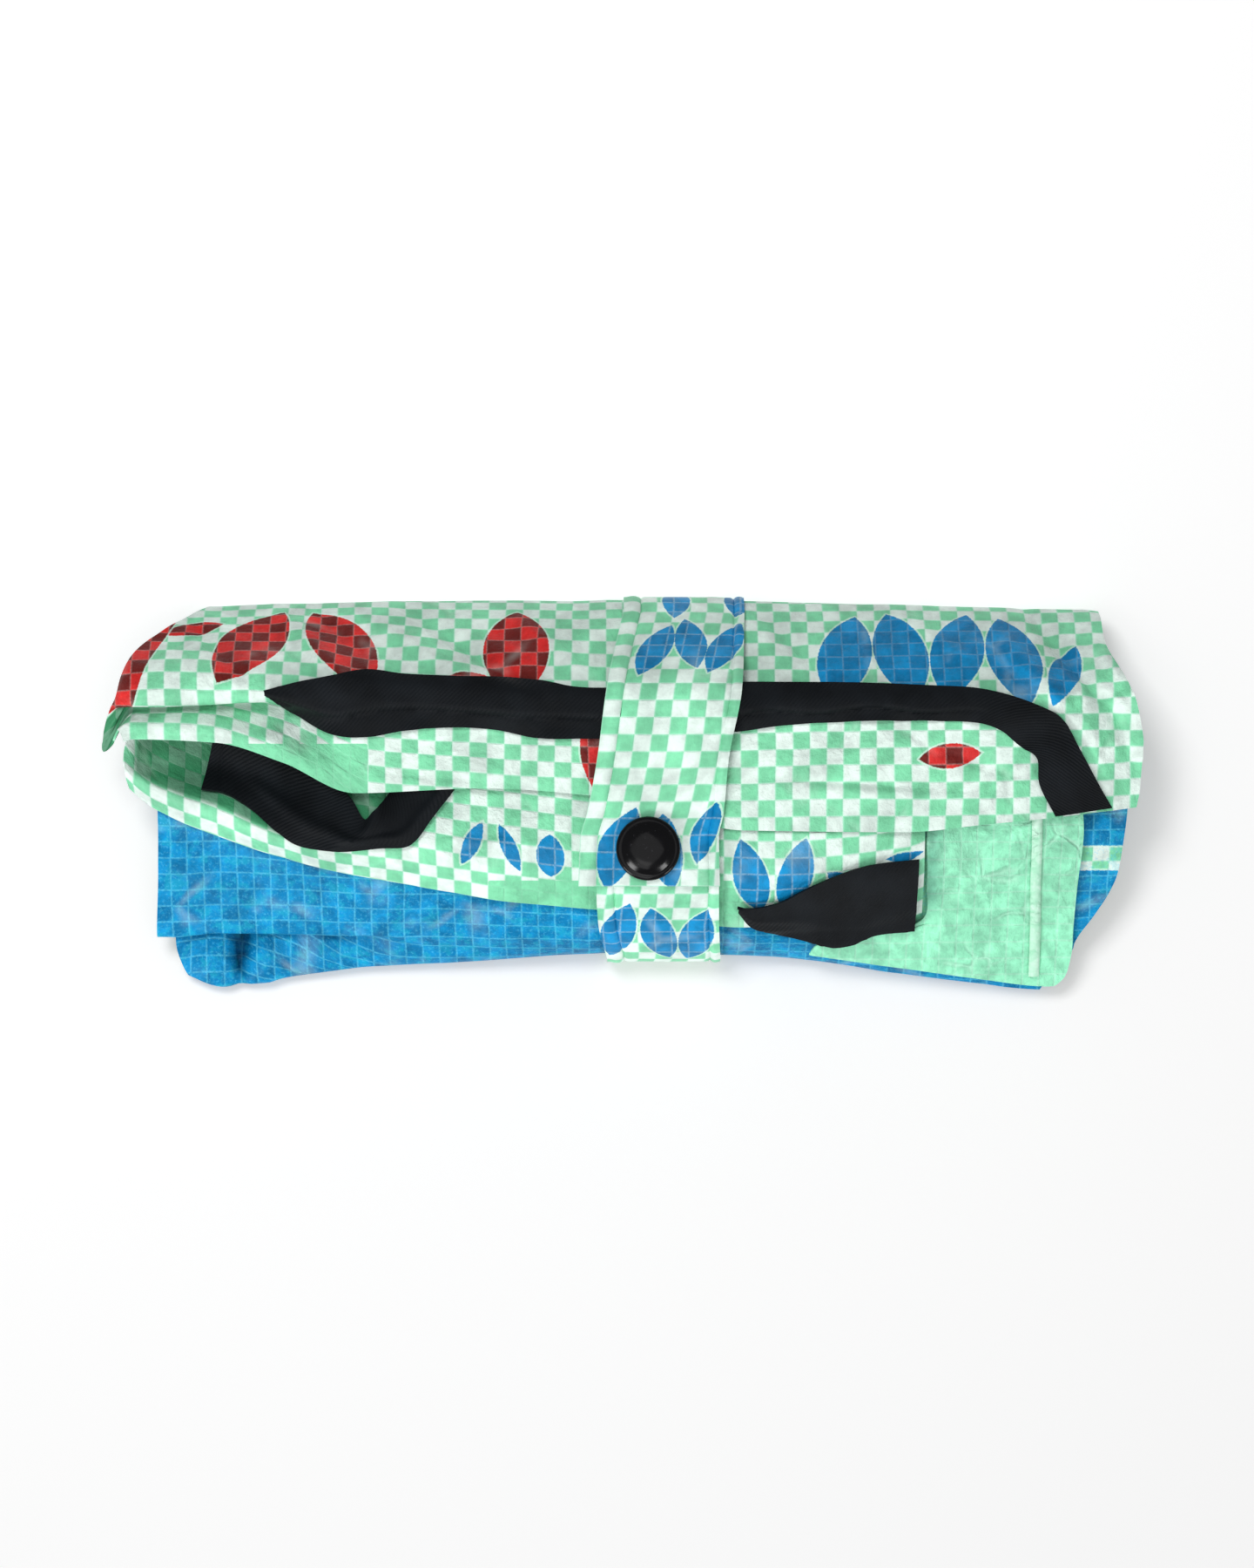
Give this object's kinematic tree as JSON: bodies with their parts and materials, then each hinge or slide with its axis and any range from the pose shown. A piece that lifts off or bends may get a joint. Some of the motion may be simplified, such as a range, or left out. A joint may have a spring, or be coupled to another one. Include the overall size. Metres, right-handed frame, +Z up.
{
  "type": "rolled shopping bag",
  "caption": "Woven sack cloth shopping bag folded and rolled into a flat pack, with black tape handles and a closing strap held by a press stud.",
  "frame": {"origin": "centre of the pack's box, on the surface that it lies on", "axes": "+X along the roll, +Y towards the rolled back, -Y towards the open front, +Z up"},
  "size_m": [0.3345, 0.1252, 0.0458],
  "materials": {
    "checked_cloth": "woven, slightly glossy",
    "blue_cloth": "woven, slightly glossy",
    "green_cloth": "woven, slightly glossy",
    "handle_tape": "matte",
    "stud_cap": "glossy"
  },
  "bodies": {
    "root": {"outer_panel": "checked_cloth", "inner_panel": "checked_cloth", "base_panel": "blue_cloth", "side_panel": "green_cloth", "side_seam": "green_cloth", "closing_strap": "checked_cloth", "press_stud": "stud_cap", "handle_front": "handle_tape", "handle_back_left": "handle_tape", "handle_back_right": "handle_tape"}
  },
  "joints": []
}
